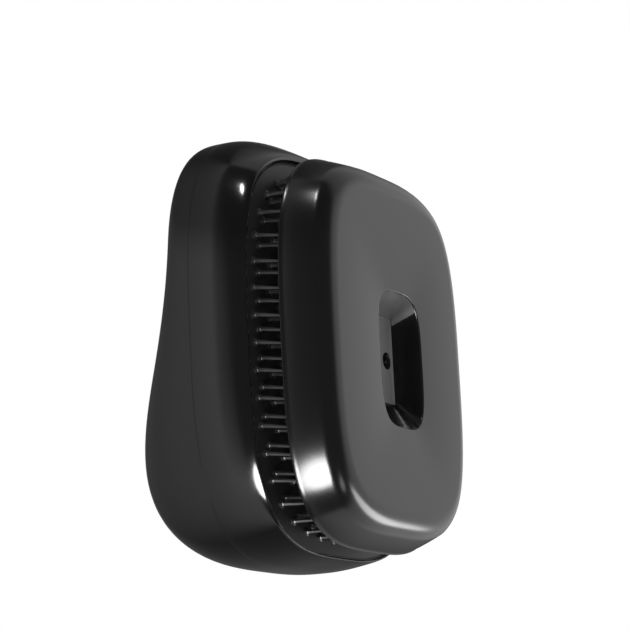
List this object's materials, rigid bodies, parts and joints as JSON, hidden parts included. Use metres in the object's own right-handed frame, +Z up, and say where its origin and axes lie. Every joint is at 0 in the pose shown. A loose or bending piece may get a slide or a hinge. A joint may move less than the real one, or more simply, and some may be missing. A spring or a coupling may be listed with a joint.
{
  "type": "detangling hair brush",
  "caption": "Palm-sized detangling hair brush with a curved hollow handle, a recessed pad of slender teeth and a soft-edged pull-off cover with a deep pocket in its middle.",
  "frame": {"origin": "centre of the whole brush's box, with the cover lifted as it is at rest", "axes": "+Z up the brush towards its thin end, +Y from the cover to the palm side, +X to the right of somebody who looks at the cover"},
  "size_m": [0.0768, 0.0472, 0.0888],
  "materials": {
    "shell_abs": "black moulded ABS, satin gloss",
    "carrier_abs": "black moulded ABS, unpolished",
    "pad_plastic": "black flexible moulded plastic, smooth"
  },
  "bodies": {
    "handle": {"palm_shell": "shell_abs", "front_shell": "shell_abs", "pad_carrier": "carrier_abs", "latch_socket": "carrier_abs", "tooth_pad": "pad_plastic", "long_teeth": "pad_plastic", "short_teeth": "pad_plastic"},
    "cover": {"cover_shell": "shell_abs", "cover_latch": "shell_abs"}
  },
  "joints": [
    {"name": "cover_pull", "type": "slide", "parent": "handle", "child": "cover", "axis": [0, -1, 0], "range_m": [-0.0071, 0.025]}
  ]
}
